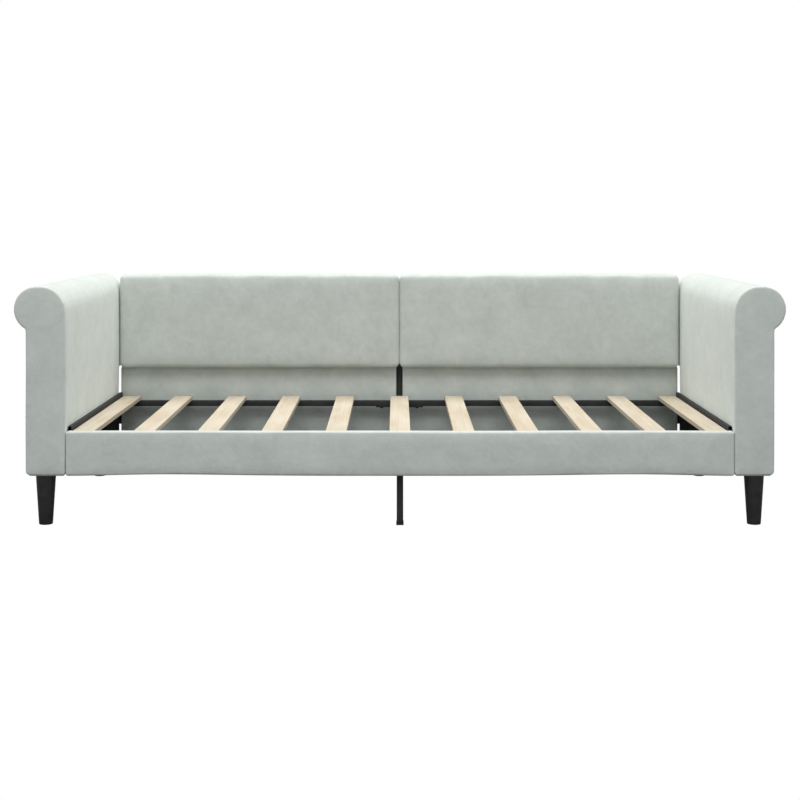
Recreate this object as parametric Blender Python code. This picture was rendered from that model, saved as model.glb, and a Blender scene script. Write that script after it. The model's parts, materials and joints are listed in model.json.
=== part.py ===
"""A daybed: two rolled arms, a low front rail, a padded back in two halves, and slats on a steel frame.

Metres, Z up. X runs along the bed, the front faces -Y and the floor is Z = 0. The origin is on the
floor, midway between the arms and midway between front and rear. Depths are measured back from the
front face of the arms, and from_front() turns them into Y.
"""

import math

import bmesh
import bpy

# Overall sizes
INNER_LENGTH = 2.030  # between the arms: a 2 m mattress with 15 mm of play at each end
DEPTH = 0.965  # arms, front to rear
ARM_HEIGHT = 0.7315  # floor to the top of the rolls
LEG_HEIGHT = 0.155

# Clearances
CLEAR = 0.0005  # between pieces that rest on or against each other
SNUG = 0.0003  # between a thin sheet and what it lies on
RAIL_PLAY = 0.0025  # between each end of the front rail and the arm
BACK_PLAY = 0.004  # between each end of the back and the arm

# Arms: a padded cover over a wooden frame, with a roll along the top of the outer side
ARM_THICKNESS = 0.122
ROLL_RADIUS = 0.071
ROLL_OVERHANG = 0.0355  # how far the roll stands out past the outer face
ROLL_FLAT = 0.0105  # flat on top, between the inner curve and the roll
COVER_WALL = 0.012  # foam and cloth
ARM_EDGE_RADIUS = 0.008  # around the front and rear faces
ARM_FOOT_RADIUS = 0.010  # along the outer bottom corner
REBATE_WIDTH = 0.020  # step in the inner rear corner of the arm, below the pads
REBATE_LENGTH = 0.063
FRAME_BOARD = 0.025  # boards of the arm's box frame
BASE_THICKNESS = 0.015
LINING_THICKNESS = 0.0015
LINING_DROP = 0.004  # arm linings below the slat tops

# Legs, turned and tapered
LEG_TOP_DIAMETER = 0.061
LEG_FOOT_DIAMETER = 0.042
LEG_FOOT_CHAMFER = 0.0015
LEG_INSET = 0.059  # leg axis to the front or rear of the arm
LEG_BOLT_DIAMETER = 0.008
LEG_BOLT_IN_LEG = 0.028
LEG_BOLT_ABOVE_BASE = 0.012
BOLT_HOLE_PLAY = 0.0003  # on the radius

# Front rail: a board in a padded cover that is open behind
RAIL_HEIGHT = 0.1345
RAIL_THICKNESS = 0.036
RAIL_SETBACK = 0.002  # behind the front of the arms
RAIL_FRONT_WALL = 0.006
RAIL_EDGE_WALL = 0.004
RAIL_EDGE_RADIUS = 0.007

# Steel frame of square tube, and the slats
TUBE = 0.020
TUBE_WALL = 0.0015
END_BAR_WIDTH = 0.012
END_BAR_HEIGHT = 0.028
SLAT_COUNT = 11
SLAT_WIDTH = 0.064
SLAT_THICKNESS = 0.015
SLAT_DROP = 0.001  # slat tops below the top of the rail
SLAT_EDGE = 0.0015
END_SLAT_GAP = 0.0033  # between an end slat and its end bar
END_SLAT_PITCH = 0.1858  # from an end slat to the next; the others share the rest evenly
SLAT_OVERHANG = 0.003  # slat end short of the rear face of the back bar
BAR_TO_BACK = 0.018  # back bar to the lower part of the back

# Back: two boards side by side, each with an upper pad and a thinner lower cover
PAD_BOTTOM = 0.392
BACK_TOP = 0.730
PAD_THICKNESS = 0.0545
PAD_LIP = 0.0075  # of the pad, over the top of the board
PAD_EDGE_RADIUS = 0.012  # along the front edges
PAD_END_RADIUS = 0.006  # around both ends
LOWER_COVER_THICKNESS = 0.0145
BACK_REAR_SETBACK = 0.010  # rear linings in front of the rear of the arms

# Plates, brackets and caps
PLATE = 0.003
FRONT_BRACKET_REACH = 0.055
FRONT_BRACKET_HEIGHT = 0.070
REAR_BRACKET_BOTTOM = 0.180
REAR_BRACKET_HEIGHT = 0.103
REAR_BRACKET_REACH = 0.050
BACK_PLATE_LENGTH = 0.120
BACK_PLATE_HEIGHT = 0.040
BACK_PLATE_BOTTOM = 0.300
JOINING_PLATE_LENGTH = 0.170
JOINING_PLATE_THICKNESS = 0.0035
JOINING_BOLT_OFFSET = 0.064
JOINING_BOLT_DIAMETER = 0.006
JOINING_HEAD_DIAMETER = 0.013
JOINING_HEAD_HEIGHT = 0.004
JOINING_BOLT_REACH = 0.008  # above the plate
CAP_WALL = 0.001
CAP_HEIGHT = 0.010
CAP_FLOOR = 0.002
POST_TOP_DROP = 0.030  # top of the rear post below the top of the back
POST_GAP = 0.001  # between the rear post and the boards beside it

ROUND_SEGMENTS = 32
BOLT_SEGMENTS = 16
ARC_STEPS = 10
ROLL_STEPS = 20
CORNER_STEPS = 4
FILLET_STEPS = 3

# Places worked out from the sizes
INNER = INNER_LENGTH / 2
BODY_BOTTOM = LEG_HEIGHT + CLEAR
BACK_BOTTOM = BODY_BOTTOM
RAIL_BACK = RAIL_SETBACK + RAIL_THICKNESS
RAIL_TOP = BODY_BOTTOM + RAIL_HEIGHT
SLAT_TOP = RAIL_TOP - SLAT_DROP
SLAT_BOTTOM = SLAT_TOP - SLAT_THICKNESS
BEARER_TOP = SLAT_BOTTOM - SNUG
BEARER_BOTTOM = BEARER_TOP - TUBE
BEARER_BACK = RAIL_BACK + CLEAR + TUBE
LINING_TOP = SLAT_TOP - LINING_DROP
REBATE_START = DEPTH - REBATE_LENGTH
REAR_LINING_BACK = DEPTH - BACK_REAR_SETBACK
BOARD_BACK = REAR_LINING_BACK - LINING_THICKNESS - SNUG
BOARD_FRONT = REAR_LINING_BACK - TUBE  # a board and its lining are as deep as the post between them
PAD_BACK = BOARD_FRONT - CLEAR
PAD_FRONT = PAD_BACK - PAD_THICKNESS
LOWER_FRONT = PAD_BACK - LOWER_COVER_THICKNESS
BACK_END = INNER - BACK_PLAY
BAR_BACK = LOWER_FRONT - BAR_TO_BACK
BAR_FRONT = BAR_BACK - TUBE
BAR_END = INNER - CLEAR
POST_SIDE = TUBE / 2 + POST_GAP
ROLL_U = ARM_THICKNESS + ROLL_OVERHANG - ROLL_RADIUS
ROLL_Z = ARM_HEIGHT - ROLL_RADIUS
INNER_CURVE_RADIUS = ROLL_U - ROLL_FLAT
FRAME_IN = REBATE_WIDTH + COVER_WALL + CLEAR
COVER_OUT = ARM_THICKNESS - COVER_WALL  # inside of the cover's outer wall
FRAME_OUT = COVER_OUT - CLEAR
LEG_U = (FRAME_IN + FRAME_OUT) / 2
SHOULDER_Z = ROLL_Z - math.sqrt((ROLL_RADIUS - COVER_WALL) ** 2 - (COVER_OUT - ROLL_U) ** 2)
ROOM_FOR_CORE = ARM_HEIGHT - COVER_WALL - CLEAR - SHOULDER_Z
CORE_RADIUS = min(ROOM_FOR_CORE / 2, ROLL_U - COVER_WALL - CLEAR)
FRAME_TOP = SHOULDER_Z - CLEAR
FRAME_BOTTOM = BODY_BOTTOM + CLEAR + BASE_THICKNESS + CLEAR

SIDES = {"left": -1, "right": 1}


def from_front(depth):
    """Y of a point that lies this far behind the front of the arms."""
    return depth - DEPTH / 2


def make_material(name, color, roughness, metallic=0.0):
    material = bpy.data.materials.new(name)
    material.use_nodes = True
    shader = material.node_tree.nodes["Principled BSDF"]
    shader.inputs["Base Color"].default_value = (*color, 1.0)
    shader.inputs["Roughness"].default_value = roughness
    shader.inputs["Metallic"].default_value = metallic
    return material


def add_solid(name, bm, location, material):
    """Turn a bmesh into a named object with its faces outwards."""
    bmesh.ops.recalc_face_normals(bm, faces=bm.faces)
    mesh = bpy.data.meshes.new(name)
    bm.to_mesh(mesh)
    bm.free()
    mesh.materials.append(material)
    solid = bpy.data.objects.new(name, mesh)
    solid.location = location
    bpy.context.scene.collection.objects.link(solid)
    return solid


def add_box(name, x, y, z, material, edge=0.0):
    """A block between two values on each axis, with its edges rounded if edge is given."""
    bm = bmesh.new()
    bmesh.ops.create_cube(bm, size=1.0)
    spans = [sorted(span) for span in (x, y, z)]
    size = [high - low for low, high in spans]
    bmesh.ops.scale(bm, vec=size, verts=bm.verts)
    if edge:
        bmesh.ops.bevel(bm, geom=bm.edges, offset=edge, segments=2, profile=0.5, affect="EDGES")
    centre = [(low + high) / 2 for low, high in spans]
    return add_solid(name, bm, centre, material)


def add_rings(name, rings, location, material):
    """A closed solid through rings of points, each ring with the same number, and a flat face at each end."""
    bm = bmesh.new()
    loops = [[bm.verts.new(point) for point in ring] for ring in rings]
    count = len(loops[0])
    for low, high in zip(loops, loops[1:]):
        for i in range(count):
            j = (i + 1) % count
            bm.faces.new((low[i], low[j], high[j], high[i]))
    bm.faces.new(loops[0])
    bm.faces.new(loops[-1])
    return add_solid(name, bm, location, material)


def add_prism(name, outline, axis, span, material):
    """An outline of two coordinates carried straight along the third axis."""
    low, high = sorted(span)
    middle = (low + high) / 2
    half = (high - low) / 2
    rings = []
    for along in (-half, half):
        if axis == "X":
            rings.append([(along, a, b) for a, b in outline])
        elif axis == "Y":
            rings.append([(a, along, b) for a, b in outline])
        else:
            rings.append([(a, b, along) for a, b in outline])
    place = {"X": (middle, 0, 0), "Y": (0, middle, 0), "Z": (0, 0, middle)}[axis]
    return add_rings(name, rings, place, material)


def add_square_tube(name, axis, span, first, second, wall, material):
    """A rectangular tube along an axis, open at both ends. first and second are its spans across."""
    low, high = sorted(span)
    bm = bmesh.new()
    ends = []
    for along in (low, high):
        loops = []
        for inset in (0.0, wall):
            a0, a1 = first[0] + inset, first[1] - inset
            b0, b1 = second[0] + inset, second[1] - inset
            corners = [(a0, b0), (a1, b0), (a1, b1), (a0, b1)]
            if axis == "X":
                points = [(along, a, b) for a, b in corners]
            elif axis == "Y":
                points = [(a, along, b) for a, b in corners]
            else:
                points = [(a, b, along) for a, b in corners]
            loops.append([bm.verts.new(point) for point in points])
        ends.append(loops)
    (outer_low, inner_low), (outer_high, inner_high) = ends
    for i in range(4):
        j = (i + 1) % 4
        bm.faces.new((outer_low[i], outer_low[j], outer_high[j], outer_high[i]))
        bm.faces.new((inner_low[i], inner_high[i], inner_high[j], inner_low[j]))
        bm.faces.new((outer_low[i], inner_low[i], inner_low[j], outer_low[j]))
        bm.faces.new((outer_high[i], outer_high[j], inner_high[j], inner_high[i]))
    return add_solid(name, bm, (0, 0, 0), material)


def add_turned(name, profile, location, segments, material):
    """A solid turned about Z from (radius, height) points that start and end on the axis."""
    bm = bmesh.new()
    loops = []
    for radius, height in profile:
        if radius == 0.0:
            loops.append([bm.verts.new((0, 0, height))])
            continue
        angles = [2 * math.pi * i / segments for i in range(segments)]
        ring = [(radius * math.cos(a), radius * math.sin(a), height) for a in angles]
        loops.append([bm.verts.new(point) for point in ring])
    for low, high in zip(loops, loops[1:]):
        for i in range(segments):
            j = (i + 1) % segments
            if len(low) == 1:
                bm.faces.new((low[0], high[j], high[i]))
            elif len(high) == 1:
                bm.faces.new((low[i], low[j], high[0]))
            else:
                bm.faces.new((low[i], low[j], high[j], high[i]))
    solid = add_solid(name, bm, location, material)
    solid.data.shade_smooth()
    solid.data.set_sharp_from_angle(angle=math.radians(30))
    return solid


def cut(solid, cutter):
    """Take the cutter's shape out of a solid."""
    cutter.hide_render = True
    cutter.display_type = "WIRE"
    modifier = solid.modifiers.new("cut_" + cutter.name, "BOOLEAN")
    modifier.operation = "DIFFERENCE"
    modifier.solver = "EXACT"
    modifier.object = cutter


def arc(centre, radius, start, end, steps):
    """Points on an arc, both ends included, with the angles in degrees."""
    angles = [math.radians(start + (end - start) * i / steps) for i in range(steps + 1)]
    return [(centre[0] + radius * math.cos(a), centre[1] + radius * math.sin(a)) for a in angles]


def arm_outline(inset, inner, bottom, foot_radius):
    """Section of an arm, drawn in so far from its outside.

    The first value runs outwards from the arm's inner face and the second is the height. It goes up
    the inner face, over a quarter circle and a flat, around the roll to where that meets the outer
    face, then down to a rounded bottom corner.
    """
    inner_radius = INNER_CURVE_RADIUS - inner
    roll_radius = ROLL_RADIUS - inset
    outer = ARM_THICKNESS - inset
    under = math.degrees(math.acos((outer - ROLL_U) / roll_radius))
    curve_centre = (INNER_CURVE_RADIUS, ARM_HEIGHT - INNER_CURVE_RADIUS)
    points = [(inner, bottom)]
    points += arc(curve_centre, inner_radius, 180, 90, ARC_STEPS)
    points += arc((ROLL_U, ROLL_Z), roll_radius, 90, -under, ROLL_STEPS)
    if foot_radius:
        corner = (outer - foot_radius, bottom + foot_radius)
        points += arc(corner, foot_radius, 0, -90, CORNER_STEPS)
    else:
        points.append((outer, bottom))
    return points


def fillet_rings(outline_at, low, high, radius):
    """Pairs of outline and place, so that a solid's end faces have rounded rims."""
    steps = [math.radians(90 * i / FILLET_STEPS) for i in range(FILLET_STEPS + 1)]
    insets = [radius * (1 - math.sin(a)) for a in steps]
    offsets = [radius * (1 - math.cos(a)) for a in steps]
    rings = [(outline_at(inset), low + offset) for inset, offset in zip(insets, offsets)]
    rings += [(outline_at(inset), high - offset) for inset, offset in zip(insets[::-1], offsets[::-1])]
    return rings


def pad_outline(inset):
    """Section of a back pad as (depth, height), with its lip over the top of the board."""
    radius = PAD_EDGE_RADIUS - inset
    front = PAD_FRONT + inset
    bottom = PAD_BOTTOM + inset
    top = BACK_TOP - inset
    points = arc((front + radius, bottom + radius), radius, 270, 180, CORNER_STEPS)
    points += arc((front + radius, top - radius), radius, 180, 90, CORNER_STEPS)
    points += [(BOARD_BACK, top), (BOARD_BACK, BACK_TOP - PAD_LIP)]
    points += [(PAD_BACK, BACK_TOP - PAD_LIP), (PAD_BACK, bottom)]
    return points


for leftover in list(bpy.data.objects):
    bpy.data.objects.remove(leftover, do_unlink=True)

velvet = make_material("light_grey_velvet", (0.44, 0.46, 0.43), 0.9)
lining = make_material("black_nonwoven_lining", (0.012, 0.011, 0.010), 0.95)
frame_wood = make_material("frame_pine", (0.55, 0.42, 0.26), 0.7)
slat_wood = make_material("birch_slat", (0.80, 0.69, 0.52), 0.6)
leg_black = make_material("black_leg", (0.022, 0.024, 0.025), 0.4)
steel_black = make_material("black_painted_steel", (0.025, 0.025, 0.025), 0.45, 0.3)
bare_steel = make_material("plated_steel", (0.55, 0.55, 0.56), 0.35, 0.9)
card = make_material("roll_card", (0.42, 0.33, 0.22), 0.9)
black_plastic = make_material("black_plastic", (0.02, 0.02, 0.02), 0.5)


def build_arm(side_name, side):
    """One arm: cover, lining, inner panel, box frame, roll core and base panel."""
    name = "arm_" + side_name

    def x_at(u):
        return side * (INNER + u)

    def place(outline):
        return [(x_at(u), z) for u, z in outline]

    def outer_outline(inset):
        return arm_outline(inset, inset, BODY_BOTTOM + inset, ARM_FOOT_RADIUS - inset)

    front, rear = from_front(0), from_front(DEPTH)
    rings = []
    for outline, y in fillet_rings(outer_outline, front, rear, ARM_EDGE_RADIUS):
        rings.append([(x, y, z) for x, z in place(outline)])
    cover = add_rings(name + "_cover", rings, (0, 0, 0), velvet)
    cover.data.shade_smooth()
    cover.data.set_sharp_from_angle(angle=math.radians(35))

    below = BODY_BOTTOM - COVER_WALL
    rebate_wall = REBATE_START - COVER_WALL
    hollow = place(arm_outline(COVER_WALL, COVER_WALL, below, 0))
    hollow_span = (from_front(COVER_WALL), from_front(rebate_wall))
    cut(cover, add_prism(name + "_hollow_cutter", hollow, "Y", hollow_span, velvet))
    behind = REBATE_WIDTH + COVER_WALL
    rear_hollow = [(x_at(behind), below), (x_at(behind), ROLL_Z)]
    rear_hollow += [(x_at(COVER_OUT), ROLL_Z), (x_at(COVER_OUT), below)]
    rear_span = (from_front(rebate_wall - COVER_WALL), from_front(DEPTH - COVER_WALL))
    cut(cover, add_prism(name + "_rear_hollow_cutter", rear_hollow, "Y", rear_span, velvet))
    outside = COVER_WALL  # how far a cutter runs past the surface it cuts
    rebate = add_box(
        name + "_rebate_cutter",
        (x_at(-outside), x_at(REBATE_WIDTH)),
        (from_front(REBATE_START), rear + outside),
        (BODY_BOTTOM - outside, PAD_BOTTOM),
        velvet,
    )
    cut(cover, rebate)
    lining_start = RAIL_BACK + CLEAR
    recess = add_box(
        name + "_recess_cutter",
        (x_at(-outside), x_at(LINING_THICKNESS + SNUG)),
        (from_front(lining_start), from_front(REBATE_START + outside)),
        (BODY_BOTTOM - outside, LINING_TOP),
        velvet,
    )
    cut(cover, recess)
    add_box(
        name + "_lining",
        (x_at(0), x_at(LINING_THICKNESS)),
        (from_front(lining_start + SNUG), from_front(REBATE_START)),
        (BODY_BOTTOM, LINING_TOP - SNUG),
        lining,
    )

    frame_front = COVER_WALL + CLEAR
    frame_rear = DEPTH - COVER_WALL - CLEAR
    across = (x_at(FRAME_IN), x_at(FRAME_OUT))
    base = add_box(
        name + "_base_panel",
        across,
        (from_front(frame_front), from_front(frame_rear)),
        (BODY_BOTTOM, BODY_BOTTOM + BASE_THICKNESS),
        frame_wood,
    )
    add_box(
        name + "_inner_panel",
        (x_at(COVER_WALL + CLEAR), x_at(FRAME_IN - CLEAR)),
        (from_front(frame_front), from_front(rebate_wall - CLEAR)),
        (BODY_BOTTOM, FRAME_TOP),
        frame_wood,
    )
    middle = (frame_front + frame_rear) / 2
    under = FRAME_TOP - FRAME_BOARD
    comb = [(frame_front, FRAME_TOP), (frame_front, FRAME_BOTTOM)]
    comb += [(frame_front + FRAME_BOARD, FRAME_BOTTOM), (frame_front + FRAME_BOARD, under)]
    comb += [(middle - FRAME_BOARD / 2, under), (middle - FRAME_BOARD / 2, FRAME_BOTTOM)]
    comb += [(middle + FRAME_BOARD / 2, FRAME_BOTTOM), (middle + FRAME_BOARD / 2, under)]
    comb += [(frame_rear - FRAME_BOARD, under), (frame_rear - FRAME_BOARD, FRAME_BOTTOM)]
    comb += [(frame_rear, FRAME_BOTTOM), (frame_rear, FRAME_TOP)]
    frame_outline = [(from_front(depth), z) for depth, z in comb]
    add_prism(name + "_frame", frame_outline, "X", across, frame_wood)
    core = arc((x_at(ROLL_U), SHOULDER_Z + CORE_RADIUS), CORE_RADIUS, 0, 360, ROUND_SEGMENTS)[:-1]
    core_span = (from_front(frame_front), from_front(rebate_wall - CLEAR))
    add_prism(name + "_roll_core", core, "Y", core_span, card)

    for end, depth in (("front", LEG_INSET), ("rear", DEPTH - LEG_INSET)):
        build_leg(end + "_" + side_name, (x_at(LEG_U), from_front(depth), 0), base)


def build_leg(place_name, foot, base):
    """A turned leg and the bolt that holds it under the arm's base panel."""
    hole_radius = LEG_BOLT_DIAMETER / 2 + BOLT_HOLE_PLAY
    hole_bottom = LEG_HEIGHT - LEG_BOLT_IN_LEG - CLEAR
    foot_radius = LEG_FOOT_DIAMETER / 2
    profile = [
        (0.0, 0.0),
        (foot_radius - LEG_FOOT_CHAMFER, 0.0),
        (foot_radius, LEG_FOOT_CHAMFER),
        (LEG_TOP_DIAMETER / 2, LEG_HEIGHT),
        (hole_radius, LEG_HEIGHT),
        (hole_radius, hole_bottom),
        (0.0, hole_bottom),
    ]
    add_turned("leg_" + place_name, profile, foot, ROUND_SEGMENTS, leg_black)

    radius = LEG_BOLT_DIAMETER / 2
    low = hole_bottom + CLEAR
    high = BODY_BOTTOM + BASE_THICKNESS + LEG_BOLT_ABOVE_BASE
    rod = [(0.0, low), (radius, low), (radius, high), (0.0, high)]
    add_turned("leg_bolt_" + place_name, rod, foot, BOLT_SEGMENTS, bare_steel)

    past = BODY_BOTTOM - CLEAR, BODY_BOTTOM + BASE_THICKNESS + CLEAR
    drill = [(0.0, past[0]), (hole_radius, past[0]), (hole_radius, past[1]), (0.0, past[1])]
    cut(base, add_turned("leg_hole_cutter_" + place_name, drill, foot, BOLT_SEGMENTS, frame_wood))


def build_front_rail():
    """The rail's board and its padded cover, a channel that is open behind."""
    end = INNER - RAIL_PLAY
    front, back = RAIL_SETBACK, RAIL_BACK
    radius = RAIL_EDGE_RADIUS
    outline = [(back, BODY_BOTTOM)]
    outline += arc((front + radius, BODY_BOTTOM + radius), radius, 270, 180, CORNER_STEPS)
    outline += arc((front + radius, RAIL_TOP - radius), radius, 180, 90, CORNER_STEPS)
    outline += [(back, RAIL_TOP), (back, RAIL_TOP - RAIL_EDGE_WALL)]
    outline += [(front + RAIL_FRONT_WALL, RAIL_TOP - RAIL_EDGE_WALL)]
    outline += [(front + RAIL_FRONT_WALL, BODY_BOTTOM + RAIL_EDGE_WALL)]
    outline += [(back, BODY_BOTTOM + RAIL_EDGE_WALL)]
    cover = [(from_front(depth), z) for depth, z in outline]
    add_prism("front_rail_cover", cover, "X", (-end, end), velvet)
    add_box(
        "front_rail_board",
        (-end, end),
        (from_front(front + RAIL_FRONT_WALL + CLEAR), from_front(back)),
        (BODY_BOTTOM + RAIL_EDGE_WALL + CLEAR, RAIL_TOP - RAIL_EDGE_WALL - CLEAR),
        frame_wood,
    )


def build_back_half(side_name, side):
    """One half of the back: board, upper pad, lower cover and rear lining."""
    name = "back_" + side_name
    end = side * BACK_END
    beside_post = side * POST_SIDE
    add_box(
        name + "_board",
        (beside_post, end),
        (from_front(BOARD_FRONT), from_front(BOARD_BACK)),
        (BACK_BOTTOM, BACK_TOP - PAD_LIP - CLEAR),
        frame_wood,
    )
    low, high = sorted((side * CLEAR, end))
    rings = []
    for outline, x in fillet_rings(pad_outline, low, high, PAD_END_RADIUS):
        rings.append([(x, from_front(depth), z) for depth, z in outline])
    pad = add_rings(name + "_pad", rings, (0, 0, 0), velvet)
    pad.data.shade_smooth()
    pad.data.set_sharp_from_angle(angle=math.radians(35))
    add_box(
        name + "_lower_cover",
        (beside_post, end),
        (from_front(LOWER_FRONT), from_front(PAD_BACK)),
        (BACK_BOTTOM, PAD_BOTTOM - CLEAR),
        velvet,
        edge=0.004,
    )
    add_box(
        name + "_rear_lining",
        (beside_post, end),
        (from_front(BOARD_BACK + SNUG), from_front(REAR_LINING_BACK)),
        (BACK_BOTTOM, BACK_TOP - PAD_LIP - CLEAR),
        lining,
    )


def build_steel_frame():
    """Front bearer, back bar in two halves, centre beam, end bars, and the two centre uprights."""
    bearer_z = (BEARER_BOTTOM, BEARER_TOP)
    bearer_y = (from_front(RAIL_BACK + CLEAR), from_front(BEARER_BACK))
    bar_y = (from_front(BAR_FRONT), from_front(BAR_BACK))
    centre_x = (-TUBE / 2, TUBE / 2)
    add_square_tube("front_bearer", "X", (-BAR_END, BAR_END), bearer_y, bearer_z, TUBE_WALL, steel_black)
    beam_span = (bearer_y[1] + CLEAR, bar_y[0] - CLEAR)
    add_square_tube("centre_beam", "Y", beam_span, centre_x, bearer_z, TUBE_WALL, steel_black)

    plate_top = BEARER_BOTTOM - CLEAR
    plate_bottom = plate_top - JOINING_PLATE_THICKNESS
    plate = add_box(
        "back_bar_joining_plate",
        (-JOINING_PLATE_LENGTH / 2, JOINING_PLATE_LENGTH / 2),
        bar_y,
        (plate_bottom, plate_top),
        steel_black,
    )
    bar_middle = from_front((BAR_FRONT + BAR_BACK) / 2)
    for side_name, side in SIDES.items():
        span = (side * CLEAR, side * BAR_END)
        bar = add_square_tube("back_bar_" + side_name, "X", span, bar_y, bearer_z, TUBE_WALL, steel_black)
        build_joining_bolt(side_name, (side * JOINING_BOLT_OFFSET, bar_middle, plate_bottom), plate, bar)

        outer = side * (INNER - SNUG)
        inner = side * (INNER - SNUG - END_BAR_WIDTH)
        end_bar_z = (SLAT_BOTTOM, SLAT_BOTTOM + END_BAR_HEIGHT)
        end_bar_span = (from_front(RAIL_BACK + CLEAR), from_front(REBATE_START))
        across = sorted((inner, outer))
        add_square_tube("end_bar_" + side_name, "Y", end_bar_span, across, end_bar_z, TUBE_WALL, steel_black)

    leg_top = BEARER_BOTTOM - CLEAR
    build_upright("front_centre_leg", bearer_y, leg_top)
    post_y = (from_front(BOARD_FRONT), from_front(REAR_LINING_BACK))
    build_upright("rear_centre_post", post_y, BACK_TOP - POST_TOP_DROP)


def build_joining_bolt(side_name, under_plate, plate, bar):
    """A round-headed bolt from below, through the joining plate and the bottom wall of the bar."""
    radius = JOINING_BOLT_DIAMETER / 2
    head_top = -SNUG
    head_bottom = head_top - JOINING_HEAD_HEIGHT
    tip = JOINING_PLATE_THICKNESS + JOINING_BOLT_REACH
    head_radius = JOINING_HEAD_DIAMETER / 2
    profile = [
        (0.0, head_bottom),
        (head_radius * 0.6, head_bottom),
        (head_radius, head_bottom + JOINING_HEAD_HEIGHT * 0.6),
        (head_radius, head_top),
        (radius, head_top),
        (radius, tip),
        (0.0, tip),
    ]
    add_turned("joining_bolt_" + side_name, profile, under_plate, BOLT_SEGMENTS, steel_black)
    hole_radius = radius + BOLT_HOLE_PLAY
    top = JOINING_PLATE_THICKNESS + CLEAR + TUBE / 2
    drill = [(0.0, head_bottom), (hole_radius, head_bottom), (hole_radius, top), (0.0, top)]
    drill_name = "joining_hole_cutter_" + side_name
    cutter = add_turned(drill_name, drill, under_plate, BOLT_SEGMENTS, steel_black)
    cut(plate, cutter)
    cut(bar, cutter)


def build_upright(name, y, top):
    """A square tube that stands on the floor in a plastic cap."""
    x = (-TUBE / 2, TUBE / 2)
    add_square_tube(name, "Z", (CAP_FLOOR + CLEAR, top), x, y, TUBE_WALL, steel_black)
    outside = CAP_WALL + SNUG
    cap_x = (x[0] - outside, x[1] + outside)
    cap_y = (y[0] - outside, y[1] + outside)
    cap = add_box(name + "_cap", cap_x, cap_y, (0, CAP_HEIGHT), black_plastic)
    socket_x = (x[0] - SNUG, x[1] + SNUG)
    socket_y = (y[0] - SNUG, y[1] + SNUG)
    socket = add_box(name + "_cap_cutter", socket_x, socket_y, (CAP_FLOOR, 2 * CAP_HEIGHT), black_plastic)
    cut(cap, socket)


def build_slats():
    """Slats from the front bearer to the back bar, counted from the left."""
    end_centre = INNER - SNUG - END_BAR_WIDTH - END_SLAT_GAP - SLAT_WIDTH / 2
    next_centre = end_centre - END_SLAT_PITCH
    inner_count = SLAT_COUNT - 2
    centres = [-end_centre]
    for i in range(inner_count):
        centres.append(next_centre * (2 * i / (inner_count - 1) - 1))
    centres.append(end_centre)
    span = (from_front(RAIL_BACK + CLEAR), from_front(BAR_BACK - SLAT_OVERHANG))
    for number, x in enumerate(centres, 1):
        across = (x - SLAT_WIDTH / 2, x + SLAT_WIDTH / 2)
        add_box(f"slat_{number:02d}", across, span, (SLAT_BOTTOM, SLAT_TOP), slat_wood, edge=SLAT_EDGE)


def build_brackets():
    """Angle brackets at the four corners, and the plate that ties the back to its post."""
    for side_name, side in SIDES.items():
        outer = side * (INNER - CLEAR)
        beside = outer - side * PLATE
        reach = outer - side * FRONT_BRACKET_REACH
        on_rail = from_front(RAIL_BACK + CLEAR)
        angle = [(outer, on_rail), (outer, on_rail + FRONT_BRACKET_REACH)]
        angle += [(beside, on_rail + FRONT_BRACKET_REACH), (beside, on_rail + PLATE)]
        angle += [(reach, on_rail + PLATE), (reach, on_rail)]
        top = BEARER_BOTTOM - CLEAR
        add_prism("front_bracket_" + side_name, angle, "Z", (top - FRONT_BRACKET_HEIGHT, top), steel_black)

        outer = side * (INNER + REBATE_WIDTH - CLEAR)
        beside = outer - side * PLATE
        reach = side * (BACK_END - REAR_BRACKET_REACH)
        near = from_front(REBATE_START + CLEAR)
        on_lining = from_front(REAR_LINING_BACK + CLEAR)
        angle = [(outer, near), (outer, on_lining + PLATE), (reach, on_lining + PLATE)]
        angle += [(reach, on_lining), (beside, on_lining), (beside, near)]
        bracket_z = (REAR_BRACKET_BOTTOM, REAR_BRACKET_BOTTOM + REAR_BRACKET_HEIGHT)
        add_prism("rear_bracket_" + side_name, angle, "Z", bracket_z, steel_black)

    behind_post = REAR_LINING_BACK + CLEAR
    add_box(
        "back_joint_plate",
        (-BACK_PLATE_LENGTH / 2, BACK_PLATE_LENGTH / 2),
        (from_front(behind_post), from_front(behind_post + PLATE)),
        (BACK_PLATE_BOTTOM, BACK_PLATE_BOTTOM + BACK_PLATE_HEIGHT),
        steel_black,
    )


for side_name, side in SIDES.items():
    build_arm(side_name, side)
    build_back_half(side_name, side)
build_front_rail()
build_steel_frame()
build_slats()
build_brackets()
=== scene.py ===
"""A daybed in pale grey velvet with rolled arms, birch slats and a black steel frame, set in a white studio.

Metres, Z up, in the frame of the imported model: X along the bed, the front towards -Y, the floor at Z = 0.
Upholstery is built as smooth skins, puffed up by a short cloth simulation. Wood, steel and lining are the
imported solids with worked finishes, or rounder pieces in their place.
"""

import json
import math

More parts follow.
